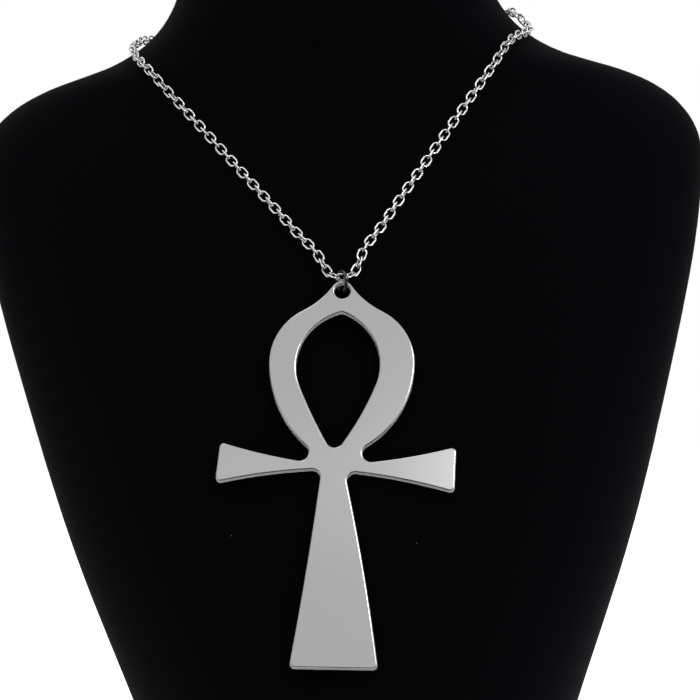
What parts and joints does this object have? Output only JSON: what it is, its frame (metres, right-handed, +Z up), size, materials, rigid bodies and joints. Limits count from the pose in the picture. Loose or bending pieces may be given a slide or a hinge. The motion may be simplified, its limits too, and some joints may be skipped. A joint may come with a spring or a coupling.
{
  "type": "ankh pendant necklace on a neck bust",
  "caption": "Flat ankh plate hung by a jump ring from an oval cable chain that is laid round a plain velvet neck bust.",
  "frame": {"origin": "on the underside of the bust's base, midway between its sides, under the neck's front", "axes": "+Z up, -Y the way the chest faces, +X to the right as seen from the front"},
  "size_m": [0.225, 0.158, 0.285],
  "materials": {
    "polished_plate": "polished",
    "dark_steel": "polished dark",
    "bright_steel": "bright polished",
    "velvet": "short pile velvet"
  },
  "bodies": {
    "display": {"neck_bust": "velvet", "chain_left": "bright_steel", "chain_right": "bright_steel", "clasp": "bright_steel", "jump_ring": "dark_steel"},
    "pendant": {"ankh_pendant": "polished_plate"}
  },
  "joints": [
    {"name": "pendant_swing", "type": "hinge", "parent": "display", "child": "pendant", "pos_m": [-0.00056, -0.06015, 0.1569], "axis": [0, -0.9511, 0.309], "range_deg": [-12, 12]}
  ]
}
